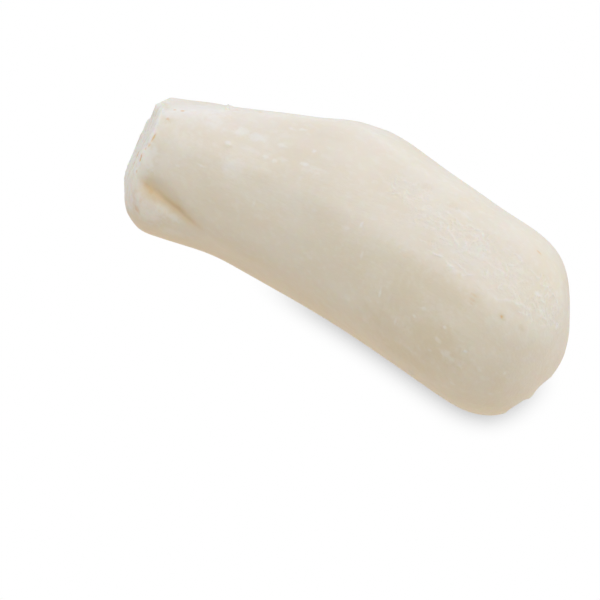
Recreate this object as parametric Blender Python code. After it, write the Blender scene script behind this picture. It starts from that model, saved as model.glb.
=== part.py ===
"""A peeled cassava root, cut off at its stem end and lying on a table.

The root is one solid, in metres, with +Z up. +X runs along it from the cut stem end to the tip, and it
bends towards +Y in between. The origin is on the table, under the middle of the root's bounding box.

The surface starts as a UV sphere. One pole becomes the middle of the cut face, the other becomes the tip,
and each ring of points in between is carried to its own place along the root's centre line. Arrays hold
one entry a point.
"""

import math

import bmesh
import bpy
import numpy as np

MM = 0.001

# The centre line: a stem leg and a tip leg, with one bend between them. The stem leg rises off the table.
LENGTH = 160 * MM
BEND_AT = 80 * MM
BEND_SPAN = 65 * MM
STEM_HEADING = math.radians(11)
TIP_HEADING = math.radians(-13)
STEM_SLOPE = math.radians(-10)

# Width and height of the root at distances from the cut face.
GIRTH = (
    (0 * MM, 38 * MM, 36 * MM),
    (30 * MM, 46 * MM, 46.5 * MM),
    (60 * MM, 52.5 * MM, 53.5 * MM),
    (90 * MM, 56 * MM, 57 * MM),
    (120 * MM, 57 * MM, 57 * MM),
    (160 * MM, 57 * MM, 56 * MM),
)

# The knuckle on the outside of the bend. An angle round the root is 0 towards +Y and 90 degrees at the top.
KNUCKLE_AT = 69 * MM
KNUCKLE_ANGLE = math.radians(60)
KNUCKLE_LENGTH = 21 * MM
KNUCKLE_SPREAD = math.radians(55)
KNUCKLE_HEIGHT = 5.7 * MM

# The stem end: an oblique cut, with a rim that is worn rounder on the lobe's side.
RIM = 2.0 * MM
LOBE_RIM = 12 * MM
CUT_SLANT_SIDE = -0.25
CUT_SLANT_UP = 0.28
SLANT_FADE = 45 * MM

# The tip: blunt and rounded.
TIP_ROUNDING = 30.5 * MM
TIP_BLUNTNESS = 0.77

# The flat cuts that trim the two ends: the heading and elevation each one faces, and its distance from the
# centre line's point TRIM_IN from that end.
TRIM_IN = 24 * MM
STEM_TRIMS = (
    (math.radians(128), math.radians(63), 20 * MM),
)
TIP_TRIMS = (
    (math.radians(37), math.radians(4), 20.7 * MM),
    (math.radians(5), math.radians(-14), 23.8 * MM),
    (math.radians(-1), math.radians(-37), 25 * MM),
)
STEM_BLEND = 1.2 * MM
TIP_BLEND = 4 * MM

# The flats that the peeling knife left along the root: the angles of their middles, how far out they lie as a
# share of the round section's radius, how much of them the section takes on, and how sharp the soft ridges
# between them are.
FLATS = tuple(math.radians(angle) for angle in (50, 101, 154, 204, 258, 306, 358))
FLAT_REACH = 0.97
FLAT_SHARE = 0.3
FLAT_SHARPNESS = 40

# The crease that runs in from the cut face, wide at first on the root's side and narrow on the lobe's, and
# the lobe beside it.
CREASE_ANGLE = math.radians(174)
CREASE_TURN = math.radians(0.47) / MM
CREASE_START = 15 * MM
CREASE_LENGTH = 42 * MM
CREASE_DEPTH = 5 * MM
CREASE_WIDE = 4 * MM
CREASE_NARROW = 1.8 * MM
LOBE_OFFSET = math.radians(48)
LOBE_SPREAD = math.radians(39)
LOBE_HEIGHT = 7.2 * MM

# How far the table has flattened the underside, and how fine the surface is. CREASE_CROWDING brings its points
# closer together near the crease.
REST_DEPTH = 2.4 * MM
STEP = 0.5 * MM
POINTS_AROUND = 72
FACE_RINGS = 5
RIM_RINGS = 4
SIDE_RINGS = 48
TIP_RINGS = 12
RINGS = FACE_RINGS + RIM_RINGS + SIDE_RINGS + TIP_RINGS
CREASE_CROWDING = 0.6

FLESH_COLOUR = (0.80, 0.73, 0.60, 1)


def smooth_step(value):
    """0 below 0, 1 above 1, and an S-curve between them."""
    value = np.clip(value, 0, 1)
    return value * value * (3 - 2 * value)


def mix(start, end, share):
    return start + (end - start) * share


def angle_between(angle, other):
    """The angle less the other one, as a turn of at most half a circle either way."""
    return (angle - other + math.pi) % (2 * math.pi) - math.pi


def curve_through(places, values, at):
    """The values at some places on a smooth curve through the given ones."""
    places = np.array(places)
    values = np.array(values)
    slopes = np.gradient(values, places)
    k = np.clip(np.searchsorted(places, at) - 1, 0, len(places) - 2)
    span = places[k + 1] - places[k]
    share = np.clip((at - places[k]) / span, 0, 1)
    leaning = share * (1 - share) * span * ((1 - share) * slopes[k] - share * slopes[k + 1])
    return mix(values[k], values[k + 1], smooth_step(share)) + leaning


def half_girth(distance):
    """Half the width and half the height of the root at each distance from the cut face."""
    places, widths, heights = zip(*GIRTH)
    return curve_through(places, widths, distance) / 2, curve_through(places, heights, distance) / 2


def directions(distance):
    """Unit vectors along the centre line, to its side and up from it, at each distance from the cut face."""
    turned = smooth_step((distance - BEND_AT) / BEND_SPAN + 0.5)
    heading = mix(STEM_HEADING, TIP_HEADING, turned)
    slope = mix(STEM_SLOPE, 0, turned)
    level = np.stack((np.cos(heading), np.sin(heading), 0 * heading), -1)
    along = level * np.cos(slope)[:, None] + np.outer(np.sin(slope), (0, 0, 1))
    side = np.cross((0, 0, 1), level)
    return along, side, np.cross(along, side)


def centre_line(distance):
    """The centre line's point at each distance from the cut face."""
    steps = np.arange(0, LENGTH, STEP)
    points = np.cumsum(directions(steps)[0], axis=0) * STEP
    return np.stack([np.interp(distance, steps, points[:, k]) for k in range(3)], -1)


def lobe_share(away):
    """1 in the middle of the lobe, falling to 0 beside it, at each angle away from the crease."""
    return np.exp(-(((away - LOBE_OFFSET) / LOBE_SPREAD) ** 4))


def place_of_rings(ring, away):
    """Distance along the root and share of the full radius, for rings counted from the cut face's middle."""
    rim = mix(RIM, LOBE_RIM, lobe_share(away))
    radius = half_girth(np.zeros(1))[0]
    on_face = np.clip(ring / FACE_RINGS, 0, 1)
    on_rim = np.clip((ring - FACE_RINGS) / RIM_RINGS, 0, 1) * math.pi / 2
    on_side = np.clip((ring - FACE_RINGS - RIM_RINGS) / SIDE_RINGS, 0, 1)
    on_tip = np.clip((ring - FACE_RINGS - RIM_RINGS - SIDE_RINGS) / TIP_RINGS, 0, 1) * math.pi / 2
    share = (on_face * (radius - rim) + np.sin(on_rim) * rim) / radius
    share = share * np.maximum(np.cos(on_tip), 0) ** TIP_BLUNTNESS
    start = rim * (1 - np.cos(on_rim))
    distance = mix(start, LENGTH - TIP_ROUNDING, on_side) + TIP_ROUNDING * np.sin(on_tip) ** TIP_BLUNTNESS
    return distance, share


def knife_flats(angle):
    """The radius of a section with flats and soft ridges between them, as a share of the round section's."""
    facing = [np.maximum(np.cos(angle - flat), 0) ** FLAT_SHARPNESS for flat in FLATS]
    flat = FLAT_REACH / np.sum(facing, axis=0) ** (1 / FLAT_SHARPNESS)
    return mix(1, flat, FLAT_SHARE)


def crease_and_lobe(distance, away, radius):
    """How far the surface stands out: below zero in the crease, above it on the lobe."""
    wide = mix(CREASE_WIDE, CREASE_NARROW, smooth_step(distance / CREASE_LENGTH))
    width = np.where(away < 0, wide, CREASE_NARROW)
    groove = np.exp(-((away * radius / width) ** 2)) * smooth_step(distance / CREASE_START)
    fade = 1 - smooth_step(distance / CREASE_LENGTH)
    return fade * (LOBE_HEIGHT * lobe_share(away) - CREASE_DEPTH * groove)


def knuckle(distance, angle):
    """How far the surface stands out on the outside of the bend."""
    along = (distance - KNUCKLE_AT) / KNUCKLE_LENGTH
    around = angle_between(angle, KNUCKLE_ANGLE) / KNUCKLE_SPREAD
    return KNUCKLE_HEIGHT * np.exp(-(along**2) - around**2)


def trimmed(points, middle, trims, blend):
    """The points, brought back behind flat cuts that face away from a middle point, with blended edges."""
    for heading, elevation, reach in trims:
        level = math.cos(elevation)
        facing = np.array((math.cos(heading) * level, math.sin(heading) * level, math.sin(elevation)))
        beyond = (points - middle) @ facing - reach
        points = points - np.outer(blend * np.logaddexp(0, beyond / blend), facing)
    return points


def root_surface(ring, turn):
    """Points of the root's surface, from each point's ring and its turn from the crease, spread evenly."""
    crowding = CREASE_CROWDING * (1 - smooth_step(ring / RINGS))
    away = turn - crowding * np.sin(turn)
    distance, share = place_of_rings(ring, away)
    angle = CREASE_ANGLE + CREASE_TURN * np.minimum(distance, CREASE_LENGTH) + away
    half_width, half_height = half_girth(distance)
    stands_out = crease_and_lobe(distance, away, half_width) + knuckle(distance, angle)
    flat = knife_flats(angle)
    to_side = share * (half_width * flat + stands_out) * np.cos(angle)
    to_top = share * (half_height * flat + stands_out) * np.sin(angle)
    slant = (CUT_SLANT_SIDE * to_side + CUT_SLANT_UP * to_top) * (1 - smooth_step(distance / SLANT_FADE))
    along, side, up = directions(distance)
    points = centre_line(distance) + side * to_side[:, None] + up * to_top[:, None] + along * slant[:, None]
    points = trimmed(points, centre_line(TRIM_IN), STEM_TRIMS, STEM_BLEND)
    return trimmed(points, centre_line(LENGTH - TRIM_IN), TIP_TRIMS, TIP_BLEND)


def set_on_table(points):
    """The points with the origin under their middle, and the lowest ones pressed flat."""
    low = points.min(axis=0)
    high = points.max(axis=0)
    points = points - ((low[0] + high[0]) / 2, (low[1] + high[1]) / 2, low[2] + REST_DEPTH)
    points[:, 2] = np.maximum(points[:, 2], 0)
    return points


def root_mesh():
    bm = bmesh.new()
    bmesh.ops.create_uvsphere(bm, u_segments=POINTS_AROUND, v_segments=RINGS, radius=1)
    ball = np.array([vert.co for vert in bm.verts])
    ring = np.round(np.arccos(np.clip(-ball[:, 2], -1, 1)) / math.pi * RINGS)
    turn = np.arctan2(ball[:, 1], ball[:, 0])
    for vert, point in zip(bm.verts, set_on_table(root_surface(ring, turn))):
        vert.co = point
    bmesh.ops.recalc_face_normals(bm, faces=bm.faces)
    mesh = bpy.data.meshes.new("cassava_root")
    bm.to_mesh(mesh)
    bm.free()
    mesh.shade_smooth()
    return mesh


def flesh_material():
    material = bpy.data.materials.new("flesh")
    material.use_nodes = True
    shader = material.node_tree.nodes["Principled BSDF"]
    shader.inputs["Base Color"].default_value = FLESH_COLOUR
    shader.inputs["Roughness"].default_value = 0.45
    return material


def main():
    for obj in list(bpy.data.objects):
        bpy.data.objects.remove(obj)
    parts = bpy.data.collections.new("peeled_cassava_root")
    bpy.context.scene.collection.children.link(parts)
    root = bpy.data.objects.new("cassava_root", root_mesh())
    root.data.materials.append(flesh_material())
    parts.objects.link(root)


main()
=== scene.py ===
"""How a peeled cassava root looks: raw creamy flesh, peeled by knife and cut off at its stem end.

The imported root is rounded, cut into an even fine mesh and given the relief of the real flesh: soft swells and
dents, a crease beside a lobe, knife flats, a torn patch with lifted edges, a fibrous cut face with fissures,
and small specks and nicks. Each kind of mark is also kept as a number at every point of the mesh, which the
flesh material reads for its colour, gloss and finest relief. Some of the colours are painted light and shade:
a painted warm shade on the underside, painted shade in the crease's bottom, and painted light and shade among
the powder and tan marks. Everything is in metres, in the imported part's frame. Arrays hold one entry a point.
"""

import itertools
import math

import bmesh
import bpy
import numpy as np
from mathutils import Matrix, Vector
from mathutils.bvhtree import BVHTree


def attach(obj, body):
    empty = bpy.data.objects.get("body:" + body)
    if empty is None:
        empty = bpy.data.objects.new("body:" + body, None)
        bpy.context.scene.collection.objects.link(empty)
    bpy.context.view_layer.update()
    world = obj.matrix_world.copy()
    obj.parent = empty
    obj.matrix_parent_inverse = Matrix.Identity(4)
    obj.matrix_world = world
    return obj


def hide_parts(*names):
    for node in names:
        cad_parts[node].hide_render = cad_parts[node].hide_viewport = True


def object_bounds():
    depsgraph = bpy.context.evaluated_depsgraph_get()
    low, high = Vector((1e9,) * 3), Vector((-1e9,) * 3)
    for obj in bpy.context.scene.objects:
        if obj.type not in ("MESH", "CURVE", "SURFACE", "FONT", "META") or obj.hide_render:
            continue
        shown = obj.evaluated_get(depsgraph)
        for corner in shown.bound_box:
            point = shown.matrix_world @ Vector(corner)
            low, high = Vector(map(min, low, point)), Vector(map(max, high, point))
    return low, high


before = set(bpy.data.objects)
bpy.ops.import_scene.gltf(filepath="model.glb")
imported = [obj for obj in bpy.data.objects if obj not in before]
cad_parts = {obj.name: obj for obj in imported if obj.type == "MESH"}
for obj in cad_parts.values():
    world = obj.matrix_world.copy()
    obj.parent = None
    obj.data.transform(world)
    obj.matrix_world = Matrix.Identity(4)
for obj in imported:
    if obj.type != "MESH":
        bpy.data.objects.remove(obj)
cad_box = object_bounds()

MM = 0.001
TOP = Vector((0, 0, 1))

# The photograph's frame, in pixels, and the camera that stands for the photographer's. The middle of the
# picture is AIM_HEIGHT above the origin, then moved by AIM_RIGHT and AIM_UP in the picture's own directions.
# The sensor is in millimetres, as lenses are.
PHOTO_SIZE = 600
AZIMUTH = math.radians(34.4)
ELEVATION = math.radians(40)
CAMERA_DISTANCE = 0.75
PIXELS_PER_METRE = 3218
SENSOR = 36
AIM_HEIGHT = 28 * MM
AIM_RIGHT = -13.6 * MM
AIM_UP = -19.4 * MM

# The light: a dome whose colour changes with height, from straight below to straight above, and three soft
# boxes. A box is its name, its place to the camera's right, towards the camera and up, its power and colour.
DOME = (
    (0.00, (1.0, 0.93, 0.72, 1)),
    (0.25, (0.62, 0.48, 0.52, 1)),
    (0.50, (0.62, 0.69, 0.58, 1)),
    (0.75, (0.66, 0.64, 0.61, 1)),
    (1.00, (0.81, 0.86, 1.01, 1)),
)
SOFT_BOXES = (
    ("box_right", (1.2, 0, 0.25), 3.5, (0.8, 0.87, 1)),
    ("box_top", (0, 0, 1.2), 3.9, (0.96, 0.94, 1)),
    ("box_back", (0, -1.2, 0.4), 2.2, (0.55, 0.68, 1)),
)
BOX_SIZE = 1.0

# The floor, just under the root, and the soft shadow on it: how far it reaches, how dark it is where the root
# touches the floor, and how quickly it falls off.
FLOOR_SIZE = 8
FLOOR_GAP = 0.05 * MM
SHADOW_REACH = 9 * MM
SHADOW_STRENGTH = 0.73
SHADOW_FALL = 3.3

# The even mesh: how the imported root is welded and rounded, and the spacing of the points. Two rounds set them
# closer in the torn patch, on the cut face and near the marks, except marks above the large size. NEAR and
# NEARER are taken times CREASE_ROOM at the crease. The size of a mark and of a swell is taken times MARK_ROOM
# and SWELL_ROOM. Points that are closer than JOINING become one.
WELD = 0.001 * MM
QUAD_FLATNESS = math.radians(40)
QUAD_SHAPE = math.radians(178)
ROUNDING_LEVELS = 3
SPACING = 1.0 * MM
NEAR = 1.2 * MM
NEARER = 0.5 * MM
NEAR_PATCH = -0.2
NEARER_PATCH = -0.1
NEAR_CUT = 0.02
LARGE_MARK = 2.7 * MM
CREASE_ROOM = 3
MARK_ROOM = 1.3
SWELL_ROOM = 1.5
JOINING = 0.08 * MM

# Steps from a line of sight that just misses the root to the place on the root that is nearest to it, and the
# degree of the curve that stands for the root's middle line.
OUTLINE_STEPS = 6
MIDDLE_DEGREE = 3

# A noise repeats after this many cells. Each one has a seed of its own, the plain whole number in its call.
LATTICE = 32

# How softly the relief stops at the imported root's box, and the least that a direction counts for there.
BOX_EASE = 0.08 * MM
TINY = 1e-6

# In the groups below, a pair that is a span, a start, an end, an edge or a side says where a smooth step
# starts and ends. With the larger number first, the step falls instead of rising.

# The cut face: the way it looks, how far it reaches from the root's end, how squarely the surface has to face
# that way, its lumps and fibres, its woody heart, its rays and its fissures.
CUT_FACING = Vector((-0.816, -0.397, 0.421)).normalized()
CUT_REACH = 34 * MM
CUT_SHARPNESS = (0.70, 0.95)
FIBRE_SIZE = (2.2 * MM, 10 * MM, 10 * MM)
FIBRE_HEIGHT = 0.16 * MM
LUMP_SIZE = 3 * MM
LUMP_HEIGHT = 0.12 * MM
HEART_SIZE = 1.0 * MM
HEART_WANDER = 0.3 * MM
HEART_WANDER_SIZE = 0.8 * MM
HEART_DEPTH = 0.3 * MM
RAYS_AROUND = 10
RAY_LENGTH = 6 * MM
RAY_SPAN = (0.1, 0.8)
FISSURE_WIDTH = 0.3 * MM
FISSURE_END_WIDTH = 0.4
FISSURE_DEPTH = 0.12 * MM
FISSURE_WANDER = 0.35 * MM
FISSURE_WANDER_SIZE = 1.5 * MM

# The crease: how wide its stain and the painted shade of its deep bottom are at its start and end, where along
# it they come and go, how it is softened, and the sharper lip of the lobe below it. Places along it run from 0
# to 1.
STAIN_WIDTH = (2.7 * MM, 2.0 * MM)
STAIN_AT_START = 0.8
STAIN_START = (0, 0.08)
STAIN_WEAKENING = (1.0, 0.3)
STAIN_WEAKENED = 0.8
STAIN_END = (1.0, 0.85)
BOTTOM_WIDTH = (0.9 * MM, 0.8 * MM)
BOTTOM_START = (0.1, 0.35)
BOTTOM_END = (1.0, 0.55)
SOFT_WIDTH = 3.0 * MM
SOFT_START = (0, 0.3)
SOFT_ROUNDS = 90
LOBE_SIDE = (0.3 * MM, -0.3 * MM)
LOBE_LIP = 0.2 * MM
LOBE_LIP_AWAY = 1.1 * MM
LOBE_LIP_WIDTH = 0.8 * MM
LOBE_LIP_START = (0, 0.2)
LOBE_LIP_END = (0.95, 0.6)

# The torn patch: how ragged its edge is, how low it lies, the swirl that its flakes and curling lines follow,
# and their size and height.
PATCH_RAGGEDNESS = 0.45
PATCH_RAGGED_SIZE = (5 * MM, 2.5 * MM, 2.5 * MM)
PATCH_EDGE = (0, 0.3)
PATCH_DEPTH = 0.12 * MM
SWIRL = 2.2 * MM
SWIRL_SIZE = 7 * MM
FLAKE_SIZE = (4 * MM, 1.6 * MM, 1.6 * MM)
FLAKE_SPAN = (0, 0.7)
FLAKE_HEIGHT = 0.09 * MM
CURL_SIZE = (9 * MM, 6 * MM, 6 * MM)
CURL_COUNT = 3
CURL_SPAN = (0.25, 0.03)
CURL_GAPS_SIZE = 2.5 * MM
CURL_GAPS_SPAN = (-0.3, 0.4)
CURL_HEIGHT = 0.13 * MM

# Lifted edges: how far they wander, how they are broken up, and how they begin and end.
EDGE_WANDER = 0.7 * MM
EDGE_WANDER_SIZE = 2.4 * MM
EDGE_GAPS_SIZE = 1.2 * MM
EDGE_GAPS_SPAN = (-0.5, 0.3)
EDGE_GAPS_SHARE = 0.35
EDGE_START = (0, 0.15)
EDGE_END = (1, 0.8)
EDGE_END_SHARE = 0.7

# Small marks: how ragged they are, where they fade and how far out they are worked out, both counted in a
# mark's own half length and half width, how high the powder stands, and how deep the brown specks are.
MARK_RAGGEDNESS = 0.5
MARK_RAGGED_SIZE = 0.9 * MM
MARK_SPAN = (1.6, 0.3)
MARK_REACH = 2.5
POWDER_HEIGHT = 0.04 * MM
SPECK_DEPTH = 0.05 * MM

# Low relief all over: an even swell, then soft waves, waves along the grain and wrinkles, each with its
# height and the size of its features.
EVEN_SWELL = 0.22 * MM
WAVES = (0.20 * MM, 15 * MM)
LONG_WAVES = (0.10 * MM, (14 * MM, 5 * MM, 5 * MM))
WRINKLES = (0.025 * MM, (6 * MM, 1.6 * MM, 1.6 * MM))

# Where the sides that the photograph doesn't show begin, how far above the floor marks are set on them, and
# where along the root the painted warm shade of its underside pales, and to what share.
HIDDEN_FACING = 0.05
HIDDEN_HEIGHT = 1 * MM
UNDERSIDE_SPAN = (0, 0.95)
UNDERSIDE_PALING = (42 * MM, 78 * MM)
UNDERSIDE_PALED = 0.3

# Lines and places on the photograph, in its pixels. Each is carried to the root's surface. First the crease.
CREASE_LINE = (
    (147, 185), (152, 190), (164, 198), (180, 209), (193, 220), (202, 228), (210, 234),
)
# Fissures in the cut face: a pixel, half length in millimetres, lean in degrees and strength.
FISSURES = (
    (155, 136, 2.3, -5, 0.8),
    (149.5, 146, 0.6, -30, 0.4),
    (146.5, 149, 0.5, 15, 0.35),
    (142, 157, 1.6, -10, 0.8),
    (133.8, 165, 1.6, 5, 1.0),
    (149.5, 126, 0.8, 35, 0.4),
    (145, 142, 0.9, -10, 0.45),
    (137, 172, 0.7, 30, 0.5),
    (129, 181, 0.8, 0, 0.3),
)
# Swells and dents: a pixel, then radius and height in millimetres.
SWELLS = (
    (162, 104, 5.0, 1.1),
    (164, 100, 1.4, -0.4),
    (133, 150, 7.0, 0.25),
    (570, 312, 6.0, -0.55),
    (182, 103, 5.0, 0.3),
    (262, 113, 7.0, 0.25),
    (293, 117, 9.0, 0.5),
    (325, 123, 8.0, 0.3),
    (412, 149, 8.0, 0.2),
    (448, 175, 8.0, 0.4),
    (474, 193, 9.0, 0.6),
    (510, 217, 8.0, 0.3),
    (537, 236, 7.0, 0.4),
    (556, 364, 6.0, 0.45),
    (494, 409, 5.0, 0.2),
    (452, 397, 8.0, 0.3),
    (388, 354, 8.0, 0.25),
    (160, 188, 3.5, 0.4),
    (174, 198, 3.5, 0.4),
    (137, 227, 5.0, 0.3),
    (128, 205, 4.0, 0.3),
    (216, 237, 3.5, 0.35),
    (227, 244, 4.0, 0.3),
    (228, 144, 1.3, 0.18),
    (413, 373, 1.0, 0.35),
    (227, 104, 0.55, 0.8),
    (356, 129, 2.5, 0.12),
)
# Knife cuts along the line of sight: two pixels on each one's edge, and how far it reaches from their middle.
# Past a share of that it fades.
SHAVINGS = (
    (((155.8, 104.2), (170, 97.7)), 8.0 * MM),
    (((150.7, 117.2), (155.8, 104.2)), 3.4 * MM),
    (((551, 377), (540, 386)), 2.8 * MM),
    (((540, 386), (533.5, 393.5)), 2.0 * MM),
    (((526.5, 398.5), (507, 411)), 4.2 * MM),
)
SHAVING_FADE = 0.8
# Lifted edges: their line, height and half width in millimetres, and how white they are.
LIPS = (
    (((430, 250), (438, 256), (446, 261), (452, 267), (459, 273), (465, 276), (471, 275)), 0.26, 0.36, 0.7),
    (((450, 258), (457, 263), (463, 269), (467, 273)), 0.12, 0.28, 0.5),
    (((418, 238), (425, 244), (433, 247), (441, 250)), 0.08, 0.28, 0.4),
    (((466, 224), (475, 229), (483, 236), (487, 245), (485, 255), (479, 261)), 0.13, 0.4, 0.3),
    (((470, 232), (477, 236), (481, 242), (481, 250), (476, 257)), 0.11, 0.38, 0.25),
    (((474, 241), (477, 246), (474, 252)), 0.1, 0.36, 0.25),
    (((440, 208), (450, 214), (459, 223), (465, 234), (466, 245), (461, 252)), 0.12, 0.5, 0.3),
    (((433, 217), (442, 224), (450, 234), (455, 244), (462, 250)), 0.11, 0.45, 0.3),
    (((452, 206), (464, 215), (474, 224)), 0.1, 0.45, 0.25),
    (((486, 262), (494, 268), (503, 272), (511, 279)), 0.1, 0.45, 0.3),
    (((505, 247), (515, 253), (522, 261), (521, 270)), 0.1, 0.38, 0.3),
    (((510, 256), (516, 262), (516, 269)), 0.1, 0.36, 0.3),
    (((527, 267), (535, 273), (541, 281)), 0.1, 0.36, 0.3),
    (((486, 289), (493, 287), (502, 288), (511, 294)), 0.06, 0.25, 0.5),
    (((486, 290), (497, 298), (508, 301), (520, 305), (531, 311), (542, 318), (556, 328)), 0.08, 0.45, 0.5),
    (((539, 281), (546, 287), (552, 294), (557, 303), (560, 312)), 0.08, 0.28, 0.5),
    (((534, 290), (541, 297), (546, 305)), 0.08, 0.26, 0.5),
    (((517, 311), (524, 313), (532, 318)), 0.05, 0.26, 0.6),
    (((504, 318), (516, 322), (528, 327), (541, 332)), 0.05, 0.3, 0.1),
    (((226, 104), (229, 106), (234, 108), (241, 111)), 0.5, 0.3, 0.3),
    (((146, 206), (151, 212), (158, 215), (166, 221)), 0.05, 0.3, 0.45),
    (((155, 207), (163, 213), (172, 222), (181, 226)), 0.05, 0.3, 0.4),
    (((138, 216), (146, 221), (156, 224)), 0.05, 0.3, 0.4),
    (((396, 243), (402, 252), (404, 262), (401, 274)), 0.05, 0.5, 0.05),
    # The whiteness of this broad line along the upper ridge is a painted highlight.
    (((354, 127), (380, 141), (405, 160), (430, 179)), 0.16, 1.6, 0.2),
)
# The torn patch: spots that it is made of, with their radius in millimetres.
TORN_SPOTS = (
    (398, 188, 5.0),
    (418, 196, 5.5),
    (434, 214, 7.0),
    (450, 236, 7.5),
    (468, 248, 7.5),
    (484, 246, 7.0),
    (502, 265, 8.0),
    (520, 282, 7.5),
    (538, 296, 7.0),
    (552, 312, 5.0),
    (505, 287, 4.5),
)

# Marks: place in the photograph's pixels, half length and half width in millimetres, and strength.
# Powder marks are whitish powder, and also painted light: along the top rim they paint a sheen, at the cut end,
# the left rim and the tip's right edge they paint light thrown back onto the flesh, and the broad faint ones
# lighten whole areas.
POWDER_AND_LIGHT_MARKS = (
    (178, 100, 6.0, 9.0, 0.35),
    (197, 102, 6.0, 9.0, 0.4),
    (216, 104, 6.0, 8.0, 0.45),
    (148, 158, 3.0, 4.0, 0.75),
    (143, 171, 2.2, 3.0, 0.65),
    (246, 109, 6.0, 4.0, 0.35),
    (276, 113, 6.0, 3.0, 0.2),
    (306, 117, 6.0, 3.0, 0.25),
    (332, 120, 6.0, 3.0, 0.25),
    (172, 150, 7.0, 6.0, 0.3),
    (285, 195, 9.0, 5.0, 0.2),
    (556, 325, 5.0, 7.0, 0.25),
    (148, 212, 6.0, 3.0, 0.6),
    (131, 198, 2.4, 4.0, 0.85),
    (135, 182, 2.4, 3.2, 0.85),
    (170, 231, 5.0, 1.6, 0.35),
    (241, 132, 2.2, 1.6, 0.55),
    (259, 138, 2.8, 1.4, 0.5),
    (217, 120, 3.4, 1.6, 0.4),
    (283, 160, 1.4, 0.7, 0.35),
    (312, 168, 2.6, 0.6, 0.3),
    (318, 174, 1.2, 0.6, 0.35),
    (446, 353, 1.6, 1.0, 0.45),
    (451, 359, 1.4, 0.8, 0.4),
    (438, 340, 1.2, 0.6, 0.4),
    (431, 350, 1.0, 0.5, 0.35),
    (460, 366, 1.4, 0.5, 0.3),
    (350, 300, 0.9, 0.6, 0.3),
    (480, 370, 1.6, 0.6, 0.3),
    (275, 161, 0.9, 0.6, 0.5),
    (266, 157, 0.9, 0.5, 0.4),
    (228, 144, 1.1, 0.7, 0.5),
    (178, 166, 0.9, 0.4, 0.6),
    (202, 166, 1.6, 0.4, 0.6),
    (232, 168, 3.8, 2.8, 0.45),
    (213, 126, 4.2, 1.4, 0.45),
    (196, 112, 2.6, 1.4, 0.35),
    (222, 116, 2.6, 1.3, 0.35),
    (250, 150, 2.6, 0.8, 0.3),
    (282, 146, 1.8, 0.7, 0.4),
    (305, 165, 1.2, 0.6, 0.6),
    (315, 152, 0.9, 0.5, 0.6),
    (308, 170, 2.4, 1.2, 0.2),
    (292, 130, 1.6, 0.5, 0.4),
    (304, 131, 1.8, 0.5, 0.5),
    (362, 224, 0.4, 1.0, 0.6),
    (347, 228, 0.9, 0.6, 0.45),
    (363, 254, 0.4, 1.2, 0.4),
    (381, 292, 0.4, 1.4, 0.5),
    (396, 321, 0.4, 0.9, 0.4),
    (310, 258, 0.6, 0.4, 0.4),
    (254, 203, 0.5, 1.2, 0.4),
    (346, 228, 1.2, 0.9, 0.3),
    (150, 203, 2.2, 1.2, 0.5),
    (163, 209, 2.6, 1.6, 0.6),
    (174, 217, 2.2, 1.2, 0.5),
    (152, 218, 2.4, 0.9, 0.4),
    (138, 196, 1.8, 2.0, 0.65),
    (465, 351, 0.7, 0.5, 0.8),
    (445, 327, 0.9, 0.4, 0.7),
    (425, 308, 1.0, 0.6, 0.6),
    (415, 316, 0.6, 0.4, 0.5),
    (448, 356, 1.6, 0.8, 0.4),
    (505, 373, 1.0, 0.4, 0.4),
    (453, 383, 0.8, 0.5, 0.4),
    (490, 393, 1.6, 0.5, 0.4),
    (541, 311, 1.5, 1.0, 0.55),
    (557, 326, 0.7, 1.2, 0.8),
    (537, 295, 1.2, 0.7, 0.35),
    (556, 350, 4.0, 6.0, 0.3),
    (568, 312, 4.0, 9.0, 0.35),
)
# Tan marks are tan spots, and also painted shade: the broad ones over the lower middle darken it where the
# flesh turns away from the light.
TAN_AND_SHADE_MARKS = (
    (440, 290, 11.0, 5.0, 0.36),
    (410, 300, 12.0, 7.0, 0.38),
    (395, 265, 9.0, 5.0, 0.26),
    (360, 260, 8.0, 5.0, 0.2),
    (435, 341, 11.0, 6.0, 0.5),
    (388, 325, 9.0, 4.0, 0.36),
    (405, 355, 10.0, 4.0, 0.4),
    (522, 328, 5.0, 0.8, 0.5),
    (480, 325, 10.0, 4.0, 0.16),
    (503, 250, 9.0, 4.5, 0.18),
    (526, 267, 6.0, 4.0, 0.15),
    (168, 137, 2.4, 1.8, 0.3),
    (160, 150, 2.0, 1.6, 0.18),
    (169, 121, 1.0, 1.2, 0.5),
    (168, 108, 1.0, 0.9, 0.6),
    (153, 160, 1.6, 1.2, 0.3),
    (228, 147, 1.4, 0.8, 0.35),
    (138, 209, 1.3, 1.6, 0.55),
    (152, 201, 1.6, 1.0, 0.4),
    (476, 299, 2.4, 2.0, 0.35),
    (502, 317, 1.6, 1.0, 0.5),
    (455, 207, 2.4, 1.2, 0.25),
    (425, 187, 2.0, 1.2, 0.3),
    (430, 300, 1.5, 1.0, 0.2),
    (438, 345, 3.0, 1.5, 0.3),
    (262, 180, 3.0, 2.0, 0.2),
)
BROWN_MARKS = (
    (168, 120, 0.5, 0.45, 0.5),
    (175, 111, 0.55, 0.45, 0.7),
    (183, 112, 0.8, 0.45, 0.8),
    (237, 111, 1.5, 0.3, 0.6),
    (260, 114, 0.6, 0.4, 0.4),
    (138, 209, 0.8, 1.1, 0.3),
    (147.5, 186.5, 1.0, 0.9, 0.2),
    (152, 191, 1.3, 1.0, 0.25),
    (502, 317, 0.6, 0.5, 0.7),
    (475, 296, 1.5, 0.3, 0.2),
    (473, 300, 1.2, 0.3, 0.2),
    (472, 304, 1.0, 0.25, 0.15),
    (539, 253, 1.1, 0.3, 0.5),
)
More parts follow.
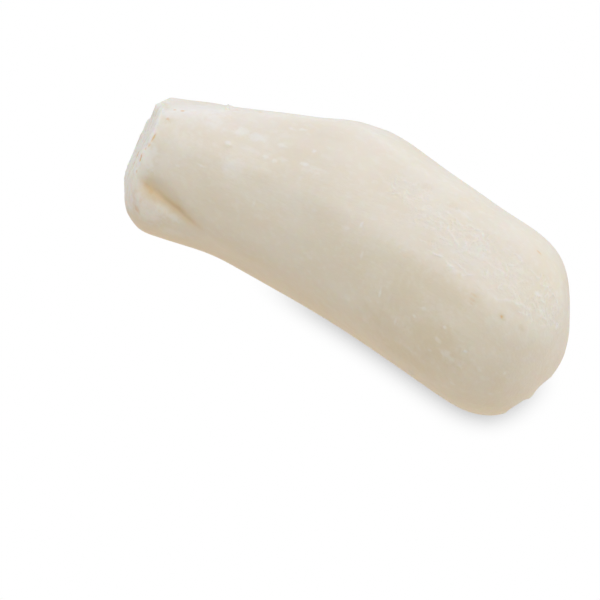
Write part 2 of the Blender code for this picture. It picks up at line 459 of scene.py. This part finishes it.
# Marks that are scattered over the sides the photograph doesn't show: how many there are, the least and most
# half length and half width in millimetres, and the least and most strength.
SCATTERED_POWDER = (90, (0.4, 2.6), (0.3, 1.3), (0.25, 0.7))
SCATTERED_TAN = (26, (0.8, 3.2), (0.8, 2.2), (0.2, 0.5))
SCATTERED_BROWN = (16, (0.4, 1.1), (0.3, 0.5), (0.4, 0.8))
# Flats that the knife left on the same sides: how many, how deep, how soft their edges are, how far they
# reach, past what share of that they fade, and how squarely the surface has to face their way.
FLATS = 22
FLAT_DEPTH = (0.12 * MM, 0.4 * MM)
FLAT_EDGE = 0.03 * MM
FLAT_REACH = 25 * MM
FLAT_FADE = 0.5
FLAT_FACING = (0.4, 0.8)

# Colours of the flesh, as linear red, green and blue.
PALE = (0.79, 0.725, 0.61, 1)
CREAM = (0.765, 0.68, 0.54, 1)
# The colour below tints the cut face's rays, and is also a painted warm shade on the underside.
WARM_RAYS_AND_UNDERSIDE_SHADE = (0.72, 0.58, 0.395, 1)
WHITE = (0.83, 0.79, 0.71, 1)
# The colour below is the powder's white, and also painted light where powder marks brighten the flesh.
POWDER_WHITE_AND_PAINTED_LIGHT = (0.87, 0.855, 0.82, 1)
CUT_WHITE = (0.875, 0.85, 0.785, 1)
# The colour below is tan, and also painted shade where broad tan marks darken the lower middle.
TAN_AND_SHADE_COLOUR = (0.69, 0.59, 0.41, 1)
STAIN = (0.77, 0.57, 0.30, 1)
# The colour below is painted shade for the crease's deep bottom.
CREASE_SHADE_COLOUR = (0.62, 0.46, 0.26, 1)
BROWN = (0.72, 0.42, 0.13, 1)

# How marks tint the flesh, each over the ones before: the mark, how strongly it shows and its colour. The
# white of the flakes comes between the two lists, with a strength that changes with the grit.
# The underside and deep tints are painted shade; the powder and tan tints are partly painted light and shade.
TINTS_BELOW_FLAKES = (
    ("underside_painted_shade", 0.7, WARM_RAYS_AND_UNDERSIDE_SHADE),
    ("torn", 0.12, WHITE),
)
FLAKE_STRENGTH = (0.1, 0.5)
TINTS_ABOVE_FLAKES = (
    ("tan_and_painted_shade", 1, TAN_AND_SHADE_COLOUR),
    ("powder_and_painted_light", 0.8, POWDER_WHITE_AND_PAINTED_LIGHT),
    ("cut", 1, CUT_WHITE),
    ("rays", 0.35, WARM_RAYS_AND_UNDERSIDE_SHADE),
    ("stain", 0.7, STAIN),
    ("crease_painted_shade", 0.5, CREASE_SHADE_COLOUR),
    ("brown", 1, BROWN),
    ("fissure", 1, BROWN),
    ("heart", 1, BROWN),
)

# Textures of the flesh: the size of each noise's features, and the span that is taken of it, with the numbers
# that its ends become where they aren't 0 and 1. Clouds and mottling change the colour, gloss the roughness,
# and grit and fine fibres the finest relief.
CLOUD_SIZE = (22 * MM, 12 * MM, 12 * MM)
CLOUD_SPAN = (0.35, 0.7, 0.12, 0.8)
MOTTLE_SIZE = (2.6 * MM, 1.9 * MM, 1.9 * MM)
MOTTLE_SPAN = (0.46, 0.74, 0, 0.32)
GRIT_SIZE = (0.7 * MM, 0.5 * MM, 0.5 * MM)
GRIT_SPAN = (0.4, 0.65)
GLOSS_SIZE = (5 * MM, 2 * MM, 2 * MM)
ROUGHNESS_SPAN = (0.3, 1.2, 0.4, 0.72)
FINE_SIZE = (1.8 * MM, 0.8 * MM, 0.8 * MM)
FINE_STRENGTH = 0.55
FINE_HEIGHT = 0.12 * MM
FLESH_IOR = 1.4

# How light scatters inside the flesh: the share of it that does, how far red, green and blue reach beside
# each other, and how deep.
SCATTERED_LIGHT = 0.5
SCATTER_COLOURS = (1.0, 0.55, 0.25)
SCATTER_DEPTH = 4 * MM


def smooth_step(value, start=0, end=1):
    """0 before the start, 1 past the end, and an S-curve between them."""
    value = np.clip((value - start) / (end - start), 0, 1)
    return value * value * (3 - 2 * value)


def mix(start, end, share):
    return start + (end - start) * share


def bump(distance, width):
    """1 at no distance, falling to 0 past the width."""
    return np.exp(-((distance / width) ** 2))


def noise(points, size, seed):
    """Smooth noise from -1 to 1 at each point. Its features have one size, or one along each axis."""
    table = np.random.default_rng(seed).uniform(-1, 1, (LATTICE,) * 3)
    place = points / np.array(size) + seed
    low = np.floor(place).astype(int)
    share = smooth_step(place - low)
    total = np.zeros(len(points))
    for corner in itertools.product((0, 1), repeat=3):
        i, j, k = ((low + corner) % LATTICE).T
        total += table[i, j, k] * np.prod(np.where(corner, share, 1 - share), axis=1)
    return total


def rough(points, size, seed, layers=3):
    """Noise with finer and fainter layers added, each half the size and strength of the one before."""
    sizes = np.array(size)
    return sum(noise(points, sizes / 2**k, seed + k) / 2**k for k in range(layers))


def curls(points, size, count, seed):
    """1 on thin lines that curl round the hills and hollows of a noise, and 0 between them."""
    level = (rough(points, size, seed, layers=2) * count) % 1
    return smooth_step(np.abs(level - 0.5), *CURL_SPAN)


def camera_axes():
    """Unit vectors to the camera's back, right and top."""
    level = math.cos(ELEVATION)
    back = Vector((math.sin(AZIMUTH) * level, -math.cos(AZIMUTH) * level, math.sin(ELEVATION)))
    right = Vector((math.cos(AZIMUTH), math.sin(AZIMUTH), 0))
    return back, right, back.cross(right)


def camera_place():
    back, right, up = camera_axes()
    return TOP * AIM_HEIGHT + right * AIM_RIGHT + up * AIM_UP + back * CAMERA_DISTANCE


def sight(pixel):
    """The direction in which the camera sees a pixel of the photograph."""
    back, right, up = camera_axes()
    across = (pixel[0] - PHOTO_SIZE / 2) / PIXELS_PER_METRE
    down = (pixel[1] - PHOTO_SIZE / 2) / PIXELS_PER_METRE
    return (right * across - up * down - back * CAMERA_DISTANCE).normalized()


def new_object(name, data):
    obj = bpy.data.objects.new(name, data)
    bpy.context.scene.collection.objects.link(obj)
    return obj


def applied(obj):
    """The object's mesh with its modifiers applied."""
    graph = bpy.context.evaluated_depsgraph_get()
    return bpy.data.meshes.new_from_object(obj.evaluated_get(graph))


def rounded_root():
    """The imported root's surface with its facets rounded off, as an object."""
    bm = bmesh.new()
    bm.from_mesh(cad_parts["cassava_root"].data)
    bmesh.ops.remove_doubles(bm, verts=bm.verts, dist=WELD)
    bmesh.ops.join_triangles(
        bm, faces=bm.faces, angle_face_threshold=QUAD_FLATNESS, angle_shape_threshold=QUAD_SHAPE
    )
    mesh = bpy.data.meshes.new("peeled_root")
    bm.to_mesh(mesh)
    bm.free()
    root = new_object("peeled_root", mesh)
    rounding = root.modifiers.new("rounding", "SUBSURF")
    rounding.levels = ROUNDING_LEVELS
    return root


def make_even(root):
    """Gives the root a mesh of evenly spaced points."""
    even = root.modifiers.new("even", "REMESH")
    even.mode = "VOXEL"
    even.voxel_size = SPACING
    root.data = applied(root)
    root.modifiers.clear()


def bvh_of(mesh):
    bm = bmesh.new()
    bm.from_mesh(mesh)
    tree = BVHTree.FromBMesh(bm)
    bm.free()
    return tree


def points_of(mesh):
    points = np.empty(len(mesh.vertices) * 3)
    mesh.vertices.foreach_get("co", points)
    return points.reshape(-1, 3)


def normals_of(mesh):
    normals = np.empty(len(mesh.vertices) * 3)
    mesh.vertex_normals.foreach_get("vector", normals)
    return normals.reshape(-1, 3)


def set_points(mesh, points):
    mesh.vertices.foreach_set("co", points.ravel())
    mesh.update()


def lay_on(mesh, surface):
    """Moves the mesh's points to the nearest places of a surface."""
    set_points(mesh, np.array([surface.find_nearest(point)[0] for point in points_of(mesh)]))


def make_finer(mesh, wanted):
    """Cuts the faces of the mesh in four around the wanted points."""
    bm = bmesh.new()
    bm.from_mesh(mesh)
    edges = [edge for edge in bm.edges if wanted[edge.verts[0].index] and wanted[edge.verts[1].index]]
    bmesh.ops.subdivide_edges(bm, edges=edges, cuts=1, use_grid_fill=True)
    bm.to_mesh(mesh)
    bm.free()


def cut_in_triangles(mesh):
    """Joins points that nearly meet and cuts the faces in triangles, choosing the rounder ones."""
    bm = bmesh.new()
    bm.from_mesh(mesh)
    bmesh.ops.remove_doubles(bm, verts=bm.verts, dist=JOINING)
    bmesh.ops.triangulate(bm, faces=bm.faces, quad_method="BEAUTY", ngon_method="BEAUTY")
    bm.to_mesh(mesh)
    bm.free()


def softened(mesh, share, rounds):
    """The mesh's points, each drawn towards the middle of its neighbours by its share, round after round."""
    ends = np.empty(len(mesh.edges) * 2, int)
    mesh.edges.foreach_get("vertices", ends)
    both = np.concatenate((ends, ends.reshape(-1, 2)[:, ::-1].ravel())).reshape(-1, 2)
    points = points_of(mesh)
    count = np.bincount(both[:, 0], minlength=len(points))
    for _ in range(rounds):
        total = np.stack([np.bincount(both[:, 0], points[both[:, 1], k], len(points)) for k in range(3)], -1)
        points += share[:, None] * (total / count[:, None] - points)
    return points


def grain(points):
    """The points as if the root were straight: x along its grain, y and z from its middle line."""
    straight = points.copy()
    for axis, curve in zip((1, 2), middle_line):
        straight[:, axis] -= np.polyval(curve, points[:, 0])
    return straight


def seen_at(pixel):
    """The place that the camera sees on the smooth surface at a pixel, or the nearest one if it sees none."""
    start = camera_place()
    along = sight(pixel)
    place = surface.ray_cast(start, along)[0]
    if place is None:
        place = surface.find_nearest(start + along * CAMERA_DISTANCE)[0]
        for _ in range(OUTLINE_STEPS):
            place = surface.find_nearest(start + along * (place - start).dot(along))[0]
    return np.array(place)


def line_on_root(pixels):
    return np.array([seen_at(pixel) for pixel in pixels])


def marks_seen(marks):
    return [(seen_at(mark[:2]), mark[2] * MM, mark[3] * MM, mark[4]) for mark in marks]


def fissure_line(pixel, half_length, lean):
    """A straight line on the cut face. With no lean, it runs the way that the camera sees at full length."""
    along = np.cross(CUT_FACING, camera_axes()[0])
    along /= np.linalg.norm(along)
    along = math.cos(lean) * along + math.sin(lean) * np.cross(CUT_FACING, along)
    return seen_at(pixel) + np.outer((-half_length, half_length), along)


def from_line(points, line):
    """Each point's offset from the nearest place on a line of straight pieces, and how far along that is."""
    pieces = np.linalg.norm(np.diff(line, axis=0), axis=1)
    before = np.concatenate(([0], np.cumsum(pieces))) / pieces.sum()
    nearest = np.full(len(points), np.inf)
    offset = np.zeros((len(points), 3))
    share = np.zeros(len(points))
    for k, (start, end) in enumerate(zip(line[:-1], line[1:])):
        piece = end - start
        along = np.clip((points - start) @ piece / (piece @ piece), 0, 1)
        away = points - start - along[:, None] * piece
        distance = np.linalg.norm(away, axis=1)
        closer = distance < nearest
        nearest[closer] = distance[closer]
        offset[closer] = away[closer]
        share[closer] = mix(before[k], before[k + 1], along)[closer]
    return offset, share


def distance_from(points, line):
    return np.linalg.norm(from_line(points, line)[0], axis=1)


def cut_mask(points, normals):
    """1 on the cut face and 0 elsewhere, from the surface's normals."""
    end = points[:, 0] < points[:, 0].min() + CUT_REACH
    return smooth_step(normals @ np.array(CUT_FACING), *CUT_SHARPNESS) * end


def torn_reach(points):
    """Above 0 where the outer flesh is torn, from the depth inside the nearest torn spot."""
    depth = [1 - np.linalg.norm(points - place, axis=1) / radius for place, radius in torn_spots]
    return np.max(depth, axis=0)


def near_marks(points, near):
    """Whether each point is within a distance of the crease or of a mark that a finer mesh shows better."""
    wanted = distance_from(points, crease) < CREASE_ROOM * near
    for line, *_ in lips + fissures:
        wanted |= distance_from(points, line) < near
    for place, half_length, half_width, _ in powder_and_light_seen + brown_seen:
        if half_length < LARGE_MARK:
            room = MARK_ROOM * max(half_length, half_width) + near
            wanted |= np.linalg.norm(points - place, axis=1) < room
    for place, radius, _ in swells:
        if radius < LARGE_MARK:
            wanted |= np.linalg.norm(points - place, axis=1) < SWELL_ROOM * radius
    return wanted


def crease_softness(points):
    """How much each point near the crease is drawn towards its neighbours."""
    offset, share = from_line(points, crease)
    return bump(np.linalg.norm(offset, axis=1), SOFT_WIDTH) * smooth_step(share, *SOFT_START)


def crease_marks(points):
    """How strongly the crease's stain, the painted shade of its deep bottom and the lobe's lip show at each
    point.
    """
    offset, share = from_line(points, crease)
    away = np.linalg.norm(offset, axis=1)
    weakening = mix(1, smooth_step(share, *STAIN_WEAKENING), STAIN_WEAKENED)
    stain = bump(away, mix(*STAIN_WIDTH, share)) * weakening
    stain *= smooth_step(share, *STAIN_END) * mix(STAIN_AT_START, 1, smooth_step(share, *STAIN_START))
    deep_part = smooth_step(share, *BOTTOM_START) * smooth_step(share, *BOTTOM_END)
    # Painted shade along the crease's deep bottom.
    crease_shade = bump(away, mix(*BOTTOM_WIDTH, share)) * deep_part
    lobe_lip = smooth_step(offset[:, 2], *LOBE_SIDE) * bump(away - LOBE_LIP_AWAY, LOBE_LIP_WIDTH)
    lobe_lip = lobe_lip * smooth_step(share, *LOBE_LIP_START) * smooth_step(share, *LOBE_LIP_END)
    return stain, crease_shade, lobe_lip


def cut_marks(points, cut):
    """How strongly the cut face's woody heart, rays and fissures show, and the height of its own relief."""
    level = np.cross((0, 0, 1), CUT_FACING) / math.hypot(CUT_FACING.x, CUT_FACING.y)
    up = np.cross(CUT_FACING, level)
    middle = points[cut > 0.5].mean(axis=0)
    place = np.stack(((points - middle) @ level, (points - middle) @ up, 0 * cut), -1)
    angle = np.arctan2(place[:, 1], place[:, 0])
    radius = np.hypot(place[:, 0], place[:, 1])
    wander = HEART_WANDER * noise(points, HEART_WANDER_SIZE, 11)
    heart = cut * bump(radius + wander, HEART_SIZE)
    turning = np.stack((RAYS_AROUND * np.cos(angle), RAYS_AROUND * np.sin(angle), radius / RAY_LENGTH), -1)
    rays = cut * smooth_step(rough(turning, 1.0, 16, layers=2), *RAY_SPAN)
    wander = FISSURE_WANDER * noise(points, FISSURE_WANDER_SIZE, 12)
    fissure = np.zeros(len(points))
    for line, strength in fissures:
        offset, share = from_line(points, line)
        width = FISSURE_WIDTH * mix(FISSURE_END_WIDTH, 1, 4 * share * (1 - share))
        fissure = np.maximum(fissure, strength * bump(np.linalg.norm(offset, axis=1) + wander, width))
    fibres = FIBRE_HEIGHT * rough(place, FIBRE_SIZE, 14)
    relief = fibres + LUMP_HEIGHT * rough(points, LUMP_SIZE, 15) - HEART_DEPTH * heart
    return heart, rays, fissure, cut * relief - FISSURE_DEPTH * fissure


def patch_marks(points, straight):
    """How strongly the torn patch, its flakes and its curling lines show at each point."""
    ragged = PATCH_RAGGEDNESS * rough(straight, PATCH_RAGGED_SIZE, 21)
    torn = smooth_step(torn_reach(points) + ragged, *PATCH_EDGE)
    swirl = straight + SWIRL * np.stack([noise(straight, SWIRL_SIZE, seed) for seed in (24, 25, 26)], -1)
    flakes = torn * smooth_step(rough(swirl, FLAKE_SIZE, 22), *FLAKE_SPAN)
    curling = torn * curls(swirl, CURL_SIZE, CURL_COUNT, 27)
    return torn, flakes, curling * smooth_step(noise(points, CURL_GAPS_SIZE, 28), *CURL_GAPS_SPAN)


def lifted_edges(points):
    """How high the lifted edges stand at each point, and how white they are, with a painted highlight along the
    upper ridge.
    """
    height = np.zeros(len(points))
    whiteness = np.zeros(len(points))
    wander = np.stack([rough(points, EDGE_WANDER_SIZE, seed, layers=2) for seed in (51, 53, 55)], -1)
    moved = points + EDGE_WANDER * wander
    gaps = mix(1, smooth_step(noise(points, EDGE_GAPS_SIZE, 57), *EDGE_GAPS_SPAN), EDGE_GAPS_SHARE)
    for line, high, wide, white in lips:
        offset, share = from_line(moved, line)
        near = gaps * bump(np.linalg.norm(offset, axis=1), wide)
        near *= smooth_step(share, *EDGE_START) * mix(1, smooth_step(share, *EDGE_END), EDGE_END_SHARE)
        height = np.maximum(height, high * near)
        whiteness = np.maximum(whiteness, white * near)
    return height, whiteness


def mark_field(points, marks, seed):
    """How strongly marks show at each point. A mark is a place, half length, half width and strength."""
    straight = grain(points)
    ragged = MARK_RAGGEDNESS * rough(points, MARK_RAGGED_SIZE, seed)
    field = np.zeros(len(points))
    for place, half_length, half_width, strength in marks:
        offset = straight - grain(place[None])
        near = np.abs(offset).max(axis=1) < MARK_REACH * max(half_length, half_width)
        along = offset[near, 0] / half_length
        across = np.linalg.norm(offset[near, 1:], axis=1) / half_width
        reach = np.hypot(along, across) + ragged[near]
        field[near] = np.maximum(field[near], strength * smooth_step(reach, *MARK_SPAN))
    return field


def scattered(kind, seed):
    """Marks of a kind at random places of the hidden sides."""
    count, *spans = kind
    random = np.random.default_rng(seed)
    picked = random.choice(len(hidden_places), count, replace=False)
    sizes = [random.uniform(*span, count) for span in spans]
    return [(hidden_places[k], a * MM, b * MM, strength) for k, a, b, strength in zip(picked, *sizes)]


def low_relief(straight):
    """The even swell, waves and wrinkles all over the root."""
    height = EVEN_SWELL + WAVES[0] * noise(straight, WAVES[1], 1)
    height += LONG_WAVES[0] * noise(straight, LONG_WAVES[1], 2)
    return height + WRINKLES[0] * rough(straight, WRINKLES[1], 3)


def knife_flats(points, normals):
    """How far flats left by the knife on the hidden sides bring each point back."""
    random = np.random.default_rng(44)
    picked = random.choice(len(hidden_places), FLATS, replace=False)
    depths = random.uniform(*FLAT_DEPTH, FLATS)
    back = np.zeros(len(points))
    for place, facing, depth in zip(hidden_places[picked], hidden_normals[picked], depths):
        fading = smooth_step(np.linalg.norm(points - place, axis=1), FLAT_REACH, FLAT_FADE * FLAT_REACH)
        fading *= smooth_step(normals @ facing, *FLAT_FACING)
        beyond = (points - place) @ facing + depth
        back += fading * FLAT_EDGE * np.logaddexp(0, beyond / FLAT_EDGE)
    return back


def within_box(points, normals, height):
    """The heights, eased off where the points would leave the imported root's box at a side or the top."""
    room = np.where(normals > 0, box_high - points, points - box_low + np.array(TOP))
    room = (room / np.maximum(np.abs(normals), TINY)).min(axis=1)
    return height - BOX_EASE * np.logaddexp(0, (height - room) / BOX_EASE)


def shaved(points):
    """The points, brought back behind the small knife cuts."""
    eye = np.array(camera_place())
    for pixels, reach in SHAVINGS:
        first, second, middle = (np.array(sight(pixel)) for pixel in (*pixels, np.mean(pixels, axis=0)))
        facing = np.cross(second, first)
        facing /= np.linalg.norm(facing)
        away = points - eye
        across = np.linalg.norm(away - np.outer(away @ middle, middle), axis=1)
        beyond = np.maximum(away @ facing, 0) * smooth_step(across, reach, SHAVING_FADE * reach)
        points = points - np.outer(beyond, facing)
    return points


def keep(mesh, name, values):
    """Stores a number or vector for every point of the mesh, for the material to read."""
    if values.ndim == 1:
        mesh.attributes.new(name, "FLOAT", "POINT").data.foreach_set("value", values)
    else:
        mesh.attributes.new(name, "FLOAT_VECTOR", "POINT").data.foreach_set("vector", values.ravel())


class Nodes:
    """Short ways to add nodes to a material."""

    def __init__(self, material):
        material.use_nodes = True
        self.tree = material.node_tree
        self.shader = self.tree.nodes["Principled BSDF"]

    def put(self, value, socket):
        """Links a socket to another, or sets a plain value on it."""
        if isinstance(value, bpy.types.NodeSocket):
            self.tree.links.new(value, socket)
        else:
            socket.default_value = value

    def shade(self, **looks):
        """Puts values or sockets on the shader. An underscore in a name stands for a space."""
        for name, value in looks.items():
            self.put(value, self.shader.inputs[name.replace("_", " ")])

    def attribute(self, name, output="Fac"):
        node = self.tree.nodes.new("ShaderNodeAttribute")
        node.attribute_name = name
        return node.outputs[output]

    def math(self, operation, first, second):
        node = self.tree.nodes.new("ShaderNodeMath")
        node.operation = operation
        node.use_clamp = operation != "SUBTRACT"
        self.put(first, node.inputs[0])
        self.put(second, node.inputs[1])
        return node.outputs[0]

    def mix(self, share, first, second):
        """A mix of two colours. The node's other sockets are for numbers and vectors."""
        node = self.tree.nodes.new("ShaderNodeMix")
        node.data_type = "RGBA"
        self.put(share, node.inputs[0])
        self.put(first, node.inputs[6])
        self.put(second, node.inputs[7])
        return node.outputs[2]

    def tinted(self, colour, mark, strength, tint):
        """The colour with a tint over it where a mark shows, at a strength that may be a socket."""
        share = self.attribute(mark)
        if strength != 1:
            share = self.math("MULTIPLY", share, strength)
        return self.mix(share, colour, tint)

    def span(self, value, low, high, to_low=0.0, to_high=1.0, kind="SMOOTHSTEP"):
        """The value, carried from one span to another."""
        node = self.tree.nodes.new("ShaderNodeMapRange")
        node.interpolation_type = kind
        for socket, number in zip(node.inputs, (value, low, high, to_low, to_high)):
            self.put(number, socket)
        return node.outputs[0]

    def noise(self, sizes, detail=3):
        """Noise along the grain, with features of the given sizes."""
        scaled = self.tree.nodes.new("ShaderNodeVectorMath")
        scaled.operation = "MULTIPLY"
        self.put(self.attribute("grain", "Vector"), scaled.inputs[0])
        scaled.inputs[1].default_value = [1 / size for size in sizes]
        node = self.tree.nodes.new("ShaderNodeTexNoise")
        node.inputs["Scale"].default_value = 1
        node.inputs["Detail"].default_value = detail
        self.put(scaled.outputs[0], node.inputs["Vector"])
        return node.outputs["Fac"]

    def relief(self, height):
        """The shader's normal with fine relief of a height from 0 to 1."""
        node = self.tree.nodes.new("ShaderNodeBump")
        node.inputs["Strength"].default_value = FINE_STRENGTH
        node.inputs["Distance"].default_value = FINE_HEIGHT
        self.put(height, node.inputs["Height"])
        return node.outputs["Normal"]


def flesh_material():
    material = bpy.data.materials.new("flesh")
    nodes = Nodes(material)
    clouds = nodes.span(nodes.noise(CLOUD_SIZE), *CLOUD_SPAN)
    mottle = nodes.span(nodes.noise(MOTTLE_SIZE, detail=4), *MOTTLE_SPAN)
    grit = nodes.span(nodes.noise(GRIT_SIZE), *GRIT_SPAN)
    colour = nodes.mix(mottle, nodes.mix(clouds, PALE, CREAM), WHITE)
    for tint in TINTS_BELOW_FLAKES:
        colour = nodes.tinted(colour, *tint)
    colour = nodes.tinted(colour, "flakes", nodes.span(grit, 0, 1, *FLAKE_STRENGTH), WHITE)
    for tint in TINTS_ABOVE_FLAKES:
        colour = nodes.tinted(colour, *tint)
    dry = nodes.math("ADD", nodes.attribute("torn"), nodes.attribute("cut"))
    roughness = nodes.span(nodes.math("ADD", dry, nodes.noise(GLOSS_SIZE)), *ROUGHNESS_SPAN)
    fibres = nodes.noise(FINE_SIZE, detail=4)
    normal = nodes.relief(nodes.math("ADD", nodes.math("MULTIPLY", grit, dry), fibres))
    nodes.shade(Base_Color=colour, Roughness=roughness, Normal=normal, IOR=FLESH_IOR)
    nodes.shade(Subsurface_Weight=SCATTERED_LIGHT, Subsurface_Scale=SCATTER_DEPTH)
    nodes.shade(Subsurface_Radius=SCATTER_COLOURS)
    return material


def floor_material():
    """White that shines evenly, apart from the soft shadow of what stands close above it."""
    material = bpy.data.materials.new("floor")
    nodes = Nodes(material)
    sky = nodes.tree.nodes.new("ShaderNodeAmbientOcclusion")
    sky.inputs["Distance"].default_value = SHADOW_REACH
    shadow = nodes.math("POWER", nodes.math("SUBTRACT", 1.0, sky.outputs["AO"]), SHADOW_FALL)
    lit = nodes.span(shadow, 0, 1, 1, 1 - SHADOW_STRENGTH, kind="LINEAR")
    nodes.shade(Base_Color=(0, 0, 0, 1), Roughness=1, Specular_IOR_Level=0)
    nodes.shade(Emission_Color=(1, 1, 1, 1), Emission_Strength=lit)
    return material


def pale_floor():
    """The floor. It throws neither light nor shadow on the root."""
    half = FLOOR_SIZE / 2
    data = bpy.data.meshes.new("floor")
    corners = [(x, y, -FLOOR_GAP) for x, y in ((-half, -half), (half, -half), (half, half), (-half, half))]
    data.from_pydata(corners, [], [(0, 1, 2, 3)])
    data.materials.append(floor_material())
    floor = new_object("floor", data)
    floor.visible_diffuse = False
    floor.visible_glossy = False
    floor.visible_shadow = False


def studio_world():
    world = bpy.data.worlds.new("studio")
    world.use_nodes = True
    tree = world.node_tree
    direction = tree.nodes.new("ShaderNodeTexCoord")
    parts = tree.nodes.new("ShaderNodeSeparateXYZ")
    rise = tree.nodes.new("ShaderNodeMapRange")
    ramp = tree.nodes.new("ShaderNodeValToRGB")
    rise.inputs["From Min"].default_value = -1
    tree.links.new(direction.outputs["Generated"], parts.inputs[0])
    tree.links.new(parts.outputs["Z"], rise.inputs["Value"])
    tree.links.new(rise.outputs[0], ramp.inputs["Fac"])
    tree.links.new(ramp.outputs["Color"], tree.nodes["Background"].inputs["Color"])
    stops = ramp.color_ramp.elements
    stops[0].position, stops[0].color = DOME[0]
    stops[1].position, stops[1].color = DOME[-1]
    for place, colour in DOME[1:-1]:
        stops.new(place).color = colour
    bpy.context.scene.world = world


def soft_box(name, place, power, colour):
    """A large round light that looks at the origin."""
    data = bpy.data.lights.new(name, "AREA")
    data.shape = "DISK"
    data.size = BOX_SIZE
    data.energy = power
    data.color = colour
    light = new_object(name, data)
    right = camera_axes()[1]
    to_camera = right.cross(TOP)
    light.location = right * place[0] + to_camera * place[1] + TOP * place[2]
    light.rotation_euler = light.location.to_track_quat("Z", "Y").to_euler()


def photo_camera():
    data = bpy.data.cameras.new("camera")
    data.sensor_width = SENSOR
    data.lens = SENSOR * PIXELS_PER_METRE * CAMERA_DISTANCE / PHOTO_SIZE
    camera = new_object("camera", data)
    camera.location = camera_place()
    camera.rotation_euler = camera_axes()[0].to_track_quat("Z", "Y").to_euler()
    bpy.context.scene.camera = camera


# The smooth surface, which every mark is placed on, and the root's middle line.
root = rounded_root()
smooth_mesh = applied(root)
surface = bvh_of(smooth_mesh)
smooth_points = points_of(smooth_mesh)
middle_line = [np.polyfit(smooth_points[:, 0], smooth_points[:, axis], MIDDLE_DEGREE) for axis in (1, 2)]

# The marks that the photograph shows, carried to the smooth surface.
crease = line_on_root(CREASE_LINE)
fissures = [(fissure_line(mark[:2], mark[2] * MM, math.radians(mark[3])), mark[4]) for mark in FISSURES]
lips = [(line_on_root(line), high * MM, wide * MM, white) for line, high, wide, white in LIPS]
swells = [(seen_at(swell[:2]), swell[2] * MM, swell[3] * MM) for swell in SWELLS]
torn_spots = [(seen_at(spot[:2]), spot[2] * MM) for spot in TORN_SPOTS]
powder_and_light_seen = marks_seen(POWDER_AND_LIGHT_MARKS)
tan_and_shade_seen = marks_seen(TAN_AND_SHADE_MARKS)
brown_seen = marks_seen(BROWN_MARKS)

# The even mesh, and the places on it that the photograph doesn't show.
make_even(root)
mesh = root.data
points = points_of(mesh)
normals = normals_of(mesh)
cut = cut_mask(points, normals)
hidden = normals @ np.array(camera_axes()[0]) < HIDDEN_FACING
hidden &= (cut == 0) & (points[:, 2] > HIDDEN_HEIGHT)
hidden_places = points[hidden]
hidden_normals = normals[hidden]

# The mesh made finer where it has small marks, laid back on the smooth surface and softened at the crease.
make_finer(mesh, near_marks(points, NEAR) | (torn_reach(points) > NEAR_PATCH) | (cut > NEAR_CUT))
points = points_of(mesh)
make_finer(mesh, near_marks(points, NEARER) | (torn_reach(points) > NEARER_PATCH))
lay_on(mesh, surface)
cut_in_triangles(mesh)
set_points(mesh, softened(mesh, crease_softness(points_of(mesh)), SOFT_ROUNDS))

# How strongly each kind of mark shows at each point.
points = points_of(mesh)
normals = normals_of(mesh)
straight = grain(points)
cut = cut_mask(points, normals)
heart, rays, fissure, cut_relief = cut_marks(points, cut)
# The crease's deep bottom gets painted shade.
stain, crease_shade, lobe_lip = crease_marks(points)
torn, flakes, curling = patch_marks(points, straight)
edge_height, edge_white_and_highlight = lifted_edges(points)
# Powder, with painted light from the marks that brighten the rims and broad areas.
powder_and_painted_light = mark_field(points, powder_and_light_seen + scattered(SCATTERED_POWDER, 41), 31)
# The lifted edges' whiteness joins the powder, with a painted highlight along the upper ridge.
powder_and_painted_light = np.maximum(powder_and_painted_light, edge_white_and_highlight)
brown = mark_field(points, brown_seen + scattered(SCATTERED_BROWN, 42), 32)
# Tan spots, with painted shade from the broad marks over the lower middle.
tan_and_painted_shade = mark_field(points, tan_and_shade_seen + scattered(SCATTERED_TAN, 43), 33)
# Painted warm shade on the flesh that faces down, fading towards the tip.
paled = mix(1, UNDERSIDE_PALED, smooth_step(points[:, 0], *UNDERSIDE_PALING))
underside_painted_shade = smooth_step(-normals[:, 2], *UNDERSIDE_SPAN) * paled

# The relief: how far each point moves out along its normal.
height = low_relief(straight)
for place, radius, high in swells:
    height += high * bump(np.linalg.norm(points - place, axis=1), radius)
height += LOBE_LIP * lobe_lip
height += FLAKE_HEIGHT * flakes + CURL_HEIGHT * curling - PATCH_DEPTH * torn
height += edge_height + POWDER_HEIGHT * powder_and_painted_light - SPECK_DEPTH * brown + cut_relief
height -= knife_flats(points, normals)
box_low, box_high = (np.array(corner) for corner in cad_box)
height = within_box(points, normals, height)
set_points(mesh, shaved(np.clip(points + normals * height[:, None], box_low, box_high)))
mesh.shade_smooth()

# What the material reads at each point, then the finished piece, its surroundings and the camera.
keep(mesh, "grain", straight)
keep(mesh, "cut", cut)
keep(mesh, "rays", rays)
keep(mesh, "heart", heart)
keep(mesh, "fissure", fissure)
keep(mesh, "stain", stain)
keep(mesh, "crease_painted_shade", crease_shade)
keep(mesh, "torn", torn)
keep(mesh, "flakes", np.maximum(flakes, curling))
keep(mesh, "powder_and_painted_light", powder_and_painted_light)
keep(mesh, "brown", brown)
keep(mesh, "tan_and_painted_shade", tan_and_painted_shade)
keep(mesh, "underside_painted_shade", underside_painted_shade)
mesh.materials.clear()
mesh.materials.append(flesh_material())
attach(root, "root")
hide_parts("cassava_root")

pale_floor()
studio_world()
for box in SOFT_BOXES:
    soft_box(*box)
photo_camera()
bpy.context.scene.view_settings.view_transform = "Standard"
